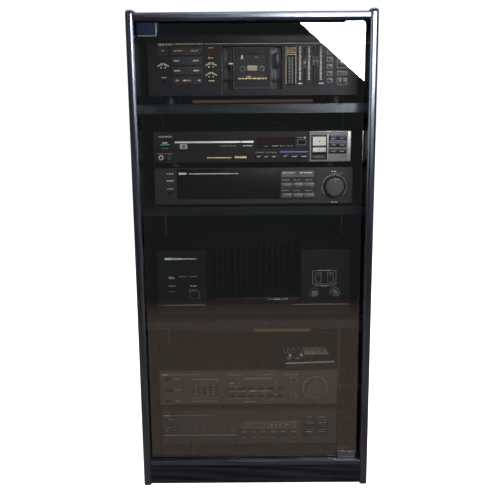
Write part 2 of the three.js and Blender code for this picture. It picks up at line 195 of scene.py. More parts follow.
def floor_look():
    """White paper to the eye, greyer past the glass; a speckled brown floor to whatever mirrors it."""
    g = Graph("studio_floor")
    path = g.node("LightPath")
    away = g.node("VectorMath", operation="LENGTH")
    g.link(g.coordinates(), away.inputs[0])
    glow = g.shader("Emission", Color=(1, 1, 0.985, 1))
    g.link(g.span(away.outputs["Value"], 0.74, 1.05, 0.35, 1.0), glow.inputs["Strength"])
    lit = g.node("AddShader")
    g.link(g.shader("BsdfDiffuse", Color=(0.86, 0.86, 0.85, 1)), lit.inputs[0])
    g.link(glow, lit.inputs[1])
    passed = g.math("GREATER_THAN", path.outputs["Transparent Depth"], 0.5)
    seen = g.mix(passed, lit, g.shader("Emission", Strength=PAST_GLASS))
    place = g.node("SeparateXYZ")
    g.link(g.coordinates(), place.inputs[0])
    carpet = g.shader("Emission")
    far_end = CABINET_FRONT - FLOOR_IN_FRONT
    g.link(g.span(place.outputs["Y"], 0.16, 0.64, far_end, far_end + 0.35), carpet.inputs["Strength"])
    speckle = g.noise(g.coordinates(), 90, 2, 0.6)
    g.link(g.ramp(speckle, [(0.34, (0.56, 0.45, 0.38)), (0.66, (1.0, 0.82, 0.71))]), carpet.inputs["Color"])
    mirrored = g.mix(path.outputs["Is Glossy Ray"], seen, carpet)
    dull = g.shader("BsdfDiffuse", Color=(0.30, 0.30, 0.30, 1))
    g.finish(g.mix(path.outputs["Is Diffuse Ray"], mirrored, dull))
    return g.block


def room_behind_look(name, color):
    """Dim warm glow that paints the brown room behind in the cabinet's shade, seen through a cable cut-out
    from the front, and clear from behind.
    """
    g = Graph(name)
    backfacing = g.node("NewGeometry").outputs["Backfacing"]
    g.finish(g.mix(backfacing, g.shader("Emission", Color=color), g.node("BsdfTransparent")))
    return g.block


def stage_card(name, x0, x1, near, far, low, high, look):
    """One flat face of the surroundings, upright where near and far are the same; metres."""
    corners = [(x0, near, low), (x1, near, low), (x1, far, high), (x0, far, high)]
    mesh = bpy.data.meshes.new(name)
    mesh.from_pydata(corners, [], [(0, 1, 2, 3)])
    mesh.materials.append(look)
    card = bpy.data.objects.new(name, mesh)
    bpy.context.collection.objects.link(card)


def make_room_behind():
    """Cards close behind the cable cut-outs, facing the front, whose glow paints the room behind in shade;
    the lower one is half in deeper painted shade.
    """
    # brown of the room dimmed as painted shade; the near-black card paints the deepest shade
    warm = room_behind_look("room_behind", (0.088, 0.051, 0.026, 1))
    shaded = room_behind_look("room_behind_shaded", (0.010, 0.007, 0.005, 1))
    reach, half_height = 0.158, 0.020
    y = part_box("back_panel")[1][1] + 0.003
    for name, level, left, right, look in (
            ("upper", 0.827, -reach, reach, warm), ("middle", 0.596, -reach, reach, warm),
            ("lower", 0.209, 0, reach, warm), ("lower_shaded", 0.209, -reach, 0, shaded)):
        stage_card(f"room_behind_{name}", left, right, y, y, level - half_height, level + half_height, look)


def make_stage():
    side, back = 4.0, 12.0
    stage_card("studio_floor", -side, side, CABINET_FRONT - FLOOR_IN_FRONT, back, 0, 0, floor_look())


def make_lights():
    front = CABINET_FRONT
    area_light("front_soft", (0.50, front - 2.0, 2.05), (0, front, 0.60), (1.5, 0.8), 88, (0.87, 0.90, 1.0))
    area_light("top_soft", (0.0, 0.45, 2.4), (0, 0, 0.9), (2.2, 1.2), 36, (0.74, 0.85, 1.0))
    area_light("left_soft", (-2.0, front - 0.3, 1.25), (-0.25, 0, 0.8), (0.5, 1.5), 26, (0.72, 0.84, 1.0))
    area_light("right_soft", (2.0, front - 0.3, 1.25), (0.25, 0, 0.8), (0.5, 1.5), 26, (0.72, 0.84, 1.0))
    # bright card, one corner of which the door's glass mirrors at its top right
    card_y = front - 1.5
    window = area_light("window_card", (0.528, card_y, 1.248), (0.528, front, 1.248), (0.62, 0.62), 95)
    window.matrix_world = (
        Matrix.Translation(window.matrix_world.translation)
        @ Matrix.Rotation(math.radians(90), 4, "X")
        @ Matrix.Rotation(math.radians(-41.3), 4, "Z"))
    window.visible_diffuse = False
    window.visible_transmission = False


# ---- materials


def plain(name, color, roughness, metallic=0.0, coat=0.0, grain=0.12, shine=0.5):
    """Moulded or painted surface: fine mottling in colour and gloss, and a faint orange peel."""
    g = Graph(name)
    shader = g.principled(Metallic=metallic, Coat_Weight=coat, Coat_Roughness=0.08, Specular_IOR_Level=shine)
    cloud = g.noise(g.coordinates(), 55, 5)
    dark = tuple(c * (1 - grain) for c in color)
    light = tuple(min(1, c * (1 + grain)) for c in color)
    g.link(g.ramp(cloud, [(0.35, dark), (0.65, light)]), shader.inputs["Base Color"])
    g.link(g.span(cloud, max(0.02, roughness - 0.07), roughness + 0.07), shader.inputs["Roughness"])
    fine = g.noise(g.coordinates(), 1400, 2)
    g.link(g.bump(fine, 0.12, 0.0003), shader.inputs["Normal"])


def brushed(name, color, roughness, metallic, along=0, strength=0.1, contrast=0.16, shine=0.5):
    """Metal face with hairlines along one axis."""
    g = Graph(name)
    shader = g.principled(Metallic=metallic, Specular_IOR_Level=shine)
    stretch = [420.0, 420.0, 420.0]
    stretch[along] = 5.0
    hair = g.noise(g.coordinates(tuple(stretch)), 4.0, 6, 0.65)
    cloud = g.noise(g.coordinates(), 9, 3)
    dark = tuple(c * (1 - contrast) for c in color)
    light = tuple(min(1, c * (1 + contrast)) for c in color)
    g.link(g.ramp(hair, [(0.3, dark), (0.7, light)]), shader.inputs["Base Color"])
    both = g.math("MULTIPLY_ADD", hair, 0.5, cloud)
    g.link(g.span(both, roughness - 0.1, roughness + 0.12), shader.inputs["Roughness"])
    g.link(g.bump(hair, strength, 0.0002), shader.inputs["Normal"])


def ash_laminate(name, along, shine=0.55):
    """Black-stained ash: long dark pores and cathedral figure under a satin lacquer."""
    g = Graph(name)
    shader = g.principled(Specular_IOR_Level=shine, Specular_Tint=(0.78, 0.85, 1.0, 1))
    stretch = [26.0, 26.0, 26.0]
    stretch[along] = 1.3
    figure = g.noise(g.coordinates(tuple(stretch)), 2.2, 3, 0.5)
    fine = [330.0, 330.0, 330.0]
    fine[along] = 7.0
    pores = g.noise(g.coordinates(tuple(fine)), 2.0, 4, 0.7)
    wave = g.node("TexWave", wave_type="BANDS", bands_direction="DIAGONAL")
    for key, value in (("Scale", 1.6), ("Distortion", 9.0), ("Detail", 3.0)):
        wave.inputs[key].default_value = value
    g.link(g.coordinates(tuple(stretch)), wave.inputs["Vector"])
    mixed = g.math("MULTIPLY_ADD", pores, 0.9, g.math("MULTIPLY", wave.outputs["Fac"], 0.22))
    total = g.math("MULTIPLY_ADD", figure, 0.35, mixed)
    color = g.ramp(total, [
        (0.42, (0.0010, 0.0011, 0.0013)), (0.62, (0.0032, 0.0036, 0.0043)), (0.85, (0.012, 0.013, 0.015))])
    g.link(color, shader.inputs["Base Color"])
    g.link(g.span(total, 0.14, 0.24), shader.inputs["Roughness"])
    g.link(g.bump(total, 0.22, 0.0006), shader.inputs["Normal"])


def smoked_glass():
    """Tinted pane: each face passes most of the light and mirrors a little, more at a glance."""
    g = Graph("smoked_glass")
    clear = g.shader("BsdfTransparent", Color=(0.83, 0.835, 0.83, 1))
    mirror = g.shader("BsdfGlossy", Color=(1, 0.985, 0.96, 1), Roughness=0.0)
    g.finish(g.mix(g.shader("Fresnel", IOR=1.5), clear, mirror))


def display_window(name, color, glow=0.0):
    """Dark filter window, with a faint light of its own behind it."""
    g = Graph(name)
    shader = g.principled(Roughness=0.08, Coat_Weight=0.6, Coat_Roughness=0.03)
    cloud = g.noise(g.coordinates(), 40, 3)
    g.link(g.ramp(cloud, [(0.3, tuple(c * 0.75 for c in color)), (0.7, color)]), shader.inputs["Base Color"])
    if glow:
        shader.inputs["Emission Color"].default_value = (*color, 1)
        shader.inputs["Emission Strength"].default_value = glow


def lamp_ink(name, color, strength):
    color = (*color, 1)
    Graph(name).principled(Roughness=0.3, Base_Color=color, Emission_Color=color, Emission_Strength=strength)


def make_looks():
    """Every material the pieces wear; colours are linear."""
    ash_laminate("ash_upright", 2)
    ash_laminate("ash_level", 0)
    ash_laminate("ash_plinth", 0, 0.10)
    smoked_glass()
    brushed("chrome", (0.72, 0.74, 0.77), 0.14, 1.0, 0, 0.02, 0.03)
    brushed("bright_steel", (0.60, 0.61, 0.62), 0.28, 1.0, 0, 0.05, 0.08)
    plain("black_steel", (0.006, 0.006, 0.007), 0.45, shine=0.15)
    plain("hardboard", (0.014, 0.012, 0.010), 0.8, 0.0, 0.0, 0.35, shine=0.2)
    brushed("deck_face", (0.0095, 0.0090, 0.0120), 0.34, 0.0, shine=0.07)
    brushed("deck_band", (0.020, 0.019, 0.022), 0.36, 0.0, shine=0.08)
    plain("deck_recess", (0.010, 0.010, 0.012), 0.5)
    brushed("cd_face", (0.0105, 0.0098, 0.0098), 0.34, 0.0, shine=0.08)
    brushed("silver_face", (0.078, 0.072, 0.074), 0.40, 0.3, 0, 0.05, 0.06)
    brushed("preamp_face", (0.0065, 0.0065, 0.0074), 0.42, 0.0, shine=0.2)
    brushed("preamp_gloss", (0.0040, 0.0040, 0.0050), 0.32, 0.0, 0, 0.03, shine=0.05)
    plain("tower_face", (0.0040, 0.0040, 0.0042), 0.42, shine=0.12)
    brushed("heat_sink", (0.0025, 0.0025, 0.0026), 0.5, 0.0, 2, shine=0.06)
    brushed("eq_face", (0.085, 0.067, 0.057), 0.38, 0.0, shine=0.12)
    brushed("tuner_face", (0.048, 0.041, 0.0385), 0.38, 0.0, shine=0.12)
    plain("black_key", (0.0035, 0.0035, 0.004), 0.38, shine=0.15)
    plain("dark_key", (0.0095, 0.0100, 0.0130), 0.38, shine=0.16)
    brushed("grey_key", (0.085, 0.087, 0.096), 0.40, 0.1, 0, 0.03, 0.05)
    brushed("pale_key", (0.13, 0.13, 0.15), 0.40, 0.1, 0, 0.03, 0.05)
    brushed("preamp_key", (0.045, 0.046, 0.052), 0.40, 0.1, 0, 0.03, 0.05)
    plain("cream_key", (0.80, 0.72, 0.66), 0.42, 0.0, 0.1, 0.04)
    brushed("knob_metal", (0.025, 0.024, 0.030), 0.36, 0.3, 0, 0.05, shine=0.4)
    # silver trim, made brighter than the panel as a painted highlight of its lit right side
    brushed("silver_trim", (0.40, 0.37, 0.37), 0.34, 0.3, 0, 0.05, 0.06)
    # chrome with its colour darkened: a painted dark reflection
    brushed("clip_chrome", (0.10, 0.11, 0.13), 0.20, 1.0, 0, 0.03, 0.1)
    plain("pale_ink", (0.42, 0.41, 0.40), 0.6, grain=0.05)
    plain("tape_edge", (0.055, 0.055, 0.060), 0.5, grain=0.05)
    # near-black for real gaps and for the painted shadow ring round the preamp knob
    plain("gap_and_shadow_black", (0.0018, 0.0018, 0.002), 0.7, shine=0.1)
    plain("white_ink", (0.90, 0.89, 0.87), 0.6, grain=0.03)
    plain("deck_key", (0.016, 0.017, 0.024), 0.36, shine=0.25)
    # pale flat rim: painted highlight along key edges and along the strike plate's edges
    plain("rim_highlight", (0.11, 0.11, 0.125), 0.45, grain=0.05)
    # chrome strike plate whose dark bluish colour is a painted reflection of a dim room
    brushed("strike_painted_reflection", (0.010, 0.014, 0.028), 0.22, 1.0, 0, 0.03, 0.25)
    plain("grey_ink", (0.26, 0.26, 0.27), 0.6, grain=0.05)
    plain("gold_ink", (0.92, 0.66, 0.34), 0.5, grain=0.05)
    plain("orange_ink", (0.88, 0.38, 0.16), 0.5, grain=0.05)
    plain("red_ink", (0.62, 0.05, 0.05), 0.5, grain=0.05)
    plain("red_plastic", (0.42, 0.05, 0.035), 0.35, 0.0, 0.2, 0.05)
    plain("green_ink", (0.03, 0.42, 0.20), 0.5, grain=0.05)
    plain("blue_ink", (0.10, 0.16, 0.55), 0.5, grain=0.05)
    display_window("cd_window", (0.030, 0.006, 0.008))
    display_window("amber_window", (0.070, 0.052, 0.035), 0.06)
    display_window("meter_window", (0.010, 0.011, 0.013))
    display_window("red_window", (0.13, 0.012, 0.014), 0.12)
    display_window("mixer_window", (0.45, 0.40, 0.32))
    lamp_ink("blue_lamp", (0.08, 0.24, 0.42), 0.18)
    lamp_ink("red_lamp", (0.55, 0.08, 0.04), 0.2)
    plain("tape_shell", (0.0105, 0.0105, 0.0115), 0.45, shine=0.1)
    plain("tape_label", (0.50, 0.36, 0.19), 0.55, grain=0.03)
    plain("brown_tape", (0.16, 0.10, 0.05), 0.4)


# ---- mesh helpers


def from_bmesh(name, bm, look, body):
    bmesh.ops.recalc_face_normals(bm, faces=bm.faces)
    mesh = bpy.data.meshes.new(name)
    bm.to_mesh(mesh)
    bm.free()
    for polygon in mesh.polygons:
        polygon.use_smooth = True
    mesh.set_sharp_from_angle(angle=SMOOTH_BELOW)
    obj = bpy.data.objects.new(name, mesh)
    bpy.context.collection.objects.link(obj)
    obj.data.materials.append(LOOKS[look])
    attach(obj, body)
    return obj


def add_box(bm, low, high, round_by=0.0, segments=2):
    """Box from low to high corner in millimetres, with its edges rounded."""
    low, high = Vector(low) * MM, Vector(high) * MM
    made = bmesh.ops.create_cube(bm, size=1.0)["verts"]
    size, middle = high - low, (high + low) / 2
    for vert in made:
        vert.co = Vector(a * b for a, b in zip(vert.co, size)) + middle
    if round_by:
        edges = list({edge for vert in made for edge in vert.link_edges})
        bmesh.ops.bevel(
            bm, geom=edges, offset=round_by * MM, segments=segments, profile=0.5, affect="EDGES",
            clamp_overlap=True)


def soft_box(name, low, high, round_by, look):
    """One box with finely rounded edges."""
    bm = bmesh.new()
    add_box(bm, low, high, round_by, 3)
    return from_bmesh(name, bm, look, "cabinet")


def boxes(name, corners, round_by, look, body="cabinet"):
    """Several separate boxes as one piece."""
    bm = bmesh.new()
    for low, high in corners:
        add_box(bm, low, high, round_by)
    return from_bmesh(name, bm, look, body)


def raised(name, rects, front, foot, stand, look, round_by=0.0, sink=0.5):
    """Blocks over the rects (x0, x1, z0, z1), levels measured up from the foot, proud of the front."""
    return boxes(name, [
        ((x0, front - stand, foot + z0), (x1, front + sink, foot + z1)) for x0, x1, z0, z1 in rects],
        round_by, look)


def circle(bm, centre, height, radii):
    """Closed row of points about an axis that points to the front, -Y, one for each radius."""
    row = []
    for index, radius in enumerate(radii):
        angle = 2 * math.pi * index / len(radii)
        row.append(bm.verts.new((
            (centre[0] + radius * math.cos(angle)) * MM,
            (centre[1] - height) * MM,
            (centre[2] + radius * math.sin(angle)) * MM)))
    return row


def join_rows(bm, rows):
    for inner, outer in zip(rows, rows[1:]):
        for side in range(len(inner)):
            after = (side + 1) % len(inner)
            bm.faces.new((inner[side], inner[after], outer[after], outer[side]))


def add_lathe(bm, profile, centre, sides=64, flutes=0, flute_depth=0.0, flute_span=(0, 0)):
    """Turns a profile of (radius, height), with flutes cut into the steps of the span."""
    waves = [0.5 + 0.5 * math.cos(flutes * (2 * math.pi * side / sides)) for side in range(sides)]
    rows = []
    for index, (radius, height) in enumerate(profile):
        depth = flute_depth if flute_span[0] <= index <= flute_span[1] else 0.0
        rows.append(circle(bm, centre, height, [radius - depth * wave for wave in waves]))
    join_rows(bm, rows)
    bm.faces.new(list(reversed(rows[0])))
    bm.faces.new(rows[-1])


def lathe(name, profile, centre, look, body, **options):
    bm = bmesh.new()
    add_lathe(bm, profile, centre, **options)
    return from_bmesh(name, bm, look, body)


def add_ring(bm, centre, inner, outer, depth, sides=40):
    """Flat washer facing the front."""
    rows = [
        circle(bm, centre, height, [radius] * sides)
        for radius, height in ((inner, 0), (outer, 0), (outer, depth), (inner, depth))]
    join_rows(bm, rows + rows[:1])


class Print:
    """Ink on one face: marks are gathered by colour, and each colour becomes one thin piece.

    Levels are measured up from the foot, and front is the plane that the ink lies on.
    """

    def __init__(self, name, body, front, foot=0.0):
        self.name, self.body, self.front, self.foot = name, body, front, foot
        self.meshes = {}
        self.random = random.Random(name)

    def sheet(self, look):
        if look not in self.meshes:
            self.meshes[look] = bmesh.new()
        return self.meshes[look]

    def bar(self, look, x0, x1, z0, z1, lift=INK_LIFT):
        add_box(self.sheet(look), (x0, self.front - lift, self.foot + z0),
                (x1, self.front + INK_SINK, self.foot + z1))

    def words(self, look, x0, x1, z, height, widest=6.0, lift=INK_LIFT):
        """A line of small print as short plain dashes."""
        x = x0
        while x < x1 - 0.8:
            width = min(self.random.uniform(0.35, 1.0) * widest, x1 - x)
            low = z - height * self.random.uniform(0.32, 0.5)
            self.bar(look, x, x + width, low, z + height * self.random.uniform(0.36, 0.5), lift)
            x += width + max(0.55, 0.2 * widest)

    def lines(self, *rows):
        """Several lines of small print, each a row of what words takes."""
        for row in rows:
            self.words(*row)

    def outline(self, look, x0, x1, z0, z1, thick=0.4):
        self.bar(look, x0, x1, z1 - thick, z1)
        self.bar(look, x0, x1, z0, z0 + thick)
        self.bar(look, x0, x0 + thick, z0 + thick, z1 - thick)
        self.bar(look, x1 - thick, x1, z0 + thick, z1 - thick)

    def ring(self, look, x, z, inner, outer):
        centre = (x, self.front + INK_SINK, self.foot + z)
        add_ring(self.sheet(look), centre, inner, outer, INK_LIFT + INK_SINK)

    def dot(self, look, x, z, radius):
        centre = (x, self.front + INK_SINK, self.foot + z)
        add_lathe(self.sheet(look), [(radius, 0), (radius, INK_LIFT + INK_SINK)], centre, sides=24)

    def ticks(self, look, x, z, inner, outer, start, end, count, thick=0.5):
        """Short radial lines round a knob, from start to end in degrees."""
        bm = self.sheet(look)
        reach, half = (inner + outer) / 2, (outer - inner) / 2
        for i in range(count):
            angle = math.radians(start + (end - start) * i / (count - 1))
            middle = Vector((x + math.cos(angle) * reach, 0, self.foot + z + math.sin(angle) * reach))
            first = len(bm.verts)
            add_box(bm, (-half, self.front - INK_LIFT, -thick / 2),
                    (half, self.front + INK_SINK, thick / 2))
            bm.verts.ensure_lookup_table()
            turn = Matrix.Rotation(-angle, 4, "Y")
            for vert in bm.verts[first:]:
                vert.co = turn @ vert.co + middle * MM

    def finish(self):
        for look, bm in self.meshes.items():
            from_bmesh(f"{self.name}_{look}", bm, look, self.body)


def clad(node, look, bevel=0.0):
    """Gives a CAD node its material, smooth shading and, where asked, slightly broken edges."""
    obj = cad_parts[node]
    obj.data.materials.clear()
    obj.data.materials.append(LOOKS[look])
    for polygon in obj.data.polygons:
        polygon.use_smooth = True
    obj.data.set_sharp_from_angle(angle=CAD_SMOOTH_BELOW)
    if bevel:
        modifier = obj.modifiers.new("broken_edges", "BEVEL")
        modifier.width = bevel * MM
        modifier.segments = 2
        modifier.limit_method = "ANGLE"
        modifier.angle_limit = BREAK_ABOVE


class Face:
    """Front plane, edges and middle (x, z) of a CAD node, in millimetres."""

    def __init__(self, node):
        low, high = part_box(node)
        self.left, self.front, self.bottom = (v / MM for v in low)
        self.right, self.top = high[0] / MM, high[2] / MM
        self.x, self.z = (self.left + self.right) / 2, (self.bottom + self.top) / 2

    def inset(self, by):
        """Left, right, bottom and top, each moved inwards."""
        return self.left + by, self.right - by, self.bottom + by, self.top - by


# ---- cabinet and door


def make_cabinet():
    for side in ("left", "right"):
        clad(f"side_panel_{side}", "ash_upright")
    clad("top_panel", "ash_level")
    clad("bottom_panel", "ash_level")
    clad("plinth_board", "ash_plinth", 0.6)
    for shelf in ("upper", "middle", "lower"):
        clad(f"shelf_{shelf}", "ash_level", 1.2)
    clad("back_panel", "hardboard", 0.3)
    clad("magnetic_catch", "black_key", 0.8)
    clad("hinge_socket_top", "black_key", 0.3)
    clad("hinge_socket_bottom", "black_key", 0.3)


def make_door():
    clad("door_glass", "smoked_glass")
    # the plate's dark colour is a painted reflection
    clad("door_strike_plate", "strike_painted_reflection", 0.35)
    for node in ("door_hinge_clip_top", "door_hinge_clip_bottom"):
        # clips wear chrome darkened as a painted dark reflection
        clad(node, "clip_chrome", 0.35)
        clip = Face(node)
        seam = Print(f"{node}_seam", "glass_door", clip.front)
        seam.outline("gap_and_shadow_black", *clip.inset(0.4), 0.8)
        seam.finish()
    strike = Face("door_strike_plate")
    # pale strips along the plate's right and bottom edges: painted highlight
    edge = Print("door_strike_edge", "glass_door", strike.front)
    edge.bar("rim_highlight", strike.right - 1.6, strike.right - 0.4, strike.bottom + 0.6, strike.top - 0.6)
    edge.bar("rim_highlight", strike.left + 0.6, strike.right - 2.0, strike.bottom + 0.4, strike.bottom + 1.4)
    edge.finish()


# ---- units


def make_cases():
    for unit in ("deck", "cd", "preamp", "eq_amp", "tuner"):
        clad(f"{unit}_case", "black_steel", 0.6)


def make_deck():
    face = Face("deck_fascia")
    front, foot = face.front, face.bottom
    clad("deck_fascia", "deck_face", 0.4)
    clad("deck_power_button", "dark_key", 0.6)
    clad("deck_cassette_door", "deck_face", 0.5)
    clad("deck_cassette", "tape_shell", 0.6)
    soft_box("deck_top_band", (face.left + 1, front - 0.7, foot + 110.2),
             (face.right - 1, front + 1, foot + 124.5), 0.5, "deck_band")

    ink = Print("deck_print", "cabinet", front, foot)
    ink.bar("gold_ink", -102.7, face.right - 3, 107.8, 109.2)
    ink.lines(
        ("gold_ink", -201, -186, 108.4, 7.0, 5.5), ("gold_ink", -184.5, -171, 108.4, 7.0, 6.5),
        ("gold_ink", -168.5, -105.5, 108.6, 3.2, 7), ("gold_ink", -195, -184, 39.4, 1.9, 6))
    ink.bar("gap_and_shadow_black", -66.8, -66.0, 2, 106)
    ink.bar("grey_ink", -65.9, -65.5, 2, 106)
    ink.bar("red_window", -99.7, -76.5, 88.5, 96)
    for z, height in ((100.3, 1.8), (79.4, 2.2), (31.6, 2.4)):
        ink.words("gold_ink", -94, -82, z, height, 6)
    switch_cluster(ink, -191.5, 63)
    switch_cluster(ink, -88.6, 64)
    switch_cluster(ink, -88.6, 43.5)
    print_deck_scales(ink)
    ink.finish()

    power = Face("deck_power_button")
    mark = Print("deck_power_print", "deck_power", power.front)
    mark.bar("pale_ink", -194, -187.5, foot + 94.2, foot + 95.8)
    mark.finish()
    row_marks = {
        1: ((-168, -148, "orange_ink"), (-131, -116, "orange_ink")),
        2: ((-168, -156, "white_ink"), (-127, -115, "gold_ink")),
        3: ((-168, -153, "gold_ink"), (-126, -114, "white_ink")),
        4: ((-166, -158, "pale_ink"), (-150, -132, "orange_ink"), (-118, -113, "pale_ink")),
    }
    for row, marks in row_marks.items():
        node = f"deck_transport_key_row_{row}"
        clad(node, "dark_key", 0.8)
        key = Face(node)
        mark = Print(f"deck_transport_print_{row}", f"deck_transport_row_{row}", key.front)
        for x0, x1, look in marks:
            mark.words(look, x0, x1, key.z, 2.7, 5)
            mark.bar("white_ink", x0 + 3, x0 + 6, key.z - 1.6, key.z + 1.6)
        mark.finish()
    for body, node in (
            ("deck_input", "deck_input_fader"), ("deck_level_left", "deck_level_fader_left"),
            ("deck_level_right", "deck_level_fader_right")):
        clad(node, "black_key", 0.5)
        handle = Face(node)
        mark = Print(f"{node}_print", body, handle.front)
        mark.bar("pale_ink", handle.left + 1, handle.right - 1, handle.z - 0.6, handle.z + 0.6)
        mark.finish()

    rimmed_keys("deck_square_keys", [
        (161.4, 171.2, z0, z1)
        for z0, z1 in ((86.2, 93.2), (71, 78.7), (56.6, 63.4), (42.4, 49.2), (27.2, 33.9))], front, foot)
    rimmed_keys("deck_side_keys", [
        (183.4, 202.6, 57.6, 76.6), (183.4, 202.6, 43, 48.8),
        (183.4, 192.2, 22.2, 34.4), (193.8, 202.6, 22.2, 34.4)], front, foot)
    raised("deck_toggle_switches", [
        (-90.6, -86.6, 59.5, 62.5), (-90.6, -86.6, 39, 42), (-193.5, -189.5, 58.5, 61.5)],
        front, foot, 3.4, "black_key", 0.8)
    make_socket("deck_socket_ring", -190, foot + 31.5, front, "dark_key", 4.6)
    make_cassette_bay(front, foot)


def switch_cluster(ink, x, z):
    """Five position marks fanned round a small switch."""
    ink.words("gold_ink", x - 5.5, x + 5.5, z + 5.6, 1.6, 5)
    for side in (-1, 1):
        ink.bar("white_ink", x + side * 3.2 - 1.5, x + side * 3.2 + 1.5, z + 2.2, z + 4.4)
        ink.bar("gold_ink", x + side * 7.2 - 1.9, x + side * 7.2 + 1.9, z + 0.8, z + 3.2)
        ink.bar("gold_ink", x + side * 10.8 - 1.3, x + side * 10.8 + 1.3, z - 0.9, z + 1.3)
        ink.bar("white_ink", x + side * 4.6 - 1.2, x + side * 4.6 + 1.2, z - 4.6, z - 2.0)


def print_deck_scales(ink):
    """Level meter and the dashes beside the three fader slots."""
    ink.bar("meter_window", 71.0, 94.8, 22.0, 102.6, 0.1)
    for i in range(4):
        level = 98.5 - i * 4.4
        ink.words("gold_ink", 74, 92, level, 2.1, 5)
    for i in range(25):
        level = 24.0 + i * 3.2
        ink.bar("gold_ink", 71.4, 73.4, level, level + 1.5, 0.2)
        ink.bar("gold_ink", 92.4, 94.4, level, level + 1.5, 0.2)
    for i in range(19):
        level = 25.0 + i * 3.0
        shift = 1.3 if i % 2 else 0.0
        for column in (77.4, 83.6):
            ink.bar("pale_ink", column + shift, column + 3.4 + shift, level, level + 1.1, 0.2)
    for x0, x1 in ((100.4, 105.6), (119.6, 124.6), (145.2, 149.8)):
        for i in range(24):
            level = 33 + i * 2.95
            look = "white_ink" if i % 3 else "gold_ink"
            ink.bar(look, x0, x1 if i % 4 == 0 else x1 - 1.2, level - 0.75, level + 0.75)
    ink.bar("white_ink", 99, 107, 23.6, 25.8)
    ink.bar("white_ink", 143, 153.5, 23.6, 25.8)


def make_socket(name, x, z, front, look, radius):
    """Nut round a headphone socket."""
    bm = bmesh.new()
    add_ring(bm, (x, front + 0.2, z), 3.35, radius, 1.6)
    from_bmesh(name, bm, look, "cabinet")


def rimmed_keys(name, rects, front, foot, rim=1.3):
    """Small fixed key caps, each in a flat paler surround that paints the highlight along its edges."""
    around = [(x0 - rim, x1 + rim, z0 - rim, z1 + rim) for x0, x1, z0, z1 in rects]
    # the paler surround is a painted highlight round each key
    raised(f"{name}_wells", around, front, foot, 0.25, "rim_highlight", sink=0.3)
    raised(name, rects, front, foot, 2.4, "deck_key", 0.7, sink=0.2)


def make_cassette_bay(front, foot):
    door = Face("deck_cassette_door")
    tape = Face("deck_cassette")
    middle, hub_z = tape.x, tape.z
    boxes("deck_bay_rails", [
        ((x - 0.9, front + 3, foot + 17), (x + 0.9, front + 9, foot + 101))
        for x in (-57.2, -45.5, 45.5, 59.5)], 0.4, "dark_key")
    boxes("deck_bay_carriage", [
        ((-56, front + 10, foot + 60), (-43, front + 16, foot + 74)),
        ((47, front + 10, foot + 58), (59, front + 16, foot + 90)),
        ((-62, front + 20, foot + 30), (60, front + 24, foot + 36))],
        1.2, "black_key")
    boxes("deck_bay_pointer", [((-51, front + 2, foot + 66.0), (-41.5, front + 3.6, foot + 68.8))],
          0.3, "white_ink")
    soft_box("deck_bay_lining", (-65.6, front + 30, foot + 13.8), (63.6, front + 31, foot + 103.6),
             0.3, "deck_recess")
    ink = Print("deck_door_print", "cassette_door", door.front)
    ink.outline("grey_ink", *door.inset(0.6), 0.35)
    ink.words("gold_ink", middle - 31, middle + 31, foot + 35.8, 3.4, 9)
    ink.words("gold_ink", middle - 12, middle - 2, foot + 39.8, 1.8, 9)
    ink.finish()
    tape_ink = Print("cassette_print", "cassette_door", tape.front)
    tape_ink.bar("gold_ink", -24, -19.5, tape.top - 13, tape.top - 5)
    tape_ink.bar("grey_ink", 6, 12, tape.top - 10, tape.top - 8.6)
    tape_ink.outline("tape_edge", middle - 36, middle + 36, hub_z + 9.5, tape.top - 1.5, 0.5)
    tape_ink.outline("tape_edge", middle - 33, middle + 33, hub_z - 17.0, hub_z + 10.0, 0.5)
    tape_ink.bar("brown_tape", middle - 10.6, middle + 10.6, hub_z - 5.4, hub_z + 5.8)
    for i in range(5):
        column = middle - 9.6 + i * 4.0
        for row in (-4.6, -0.9, 2.8):
            tape_ink.bar("tape_label", column, column + 3.2, hub_z + row, hub_z + row + 2.6, 0.2)
    hubs = (("left", middle - 20.8), ("right", middle + 20.8))
    for side, x in hubs:
        tape_ink.ring("grey_ink", x, hub_z - 1, 4.7, 5.5)
    tape_ink.finish()
    for side, x in hubs:
        lathe(f"cassette_hub_{side}", [(4.6, 0), (4.6, 0.8), (4.0, 1.0), (2.2, 1.0), (2.2, 0.2)],
              (x, tape.front + 0.2, hub_z - 1), "black_key", "cassette_door", sides=36)


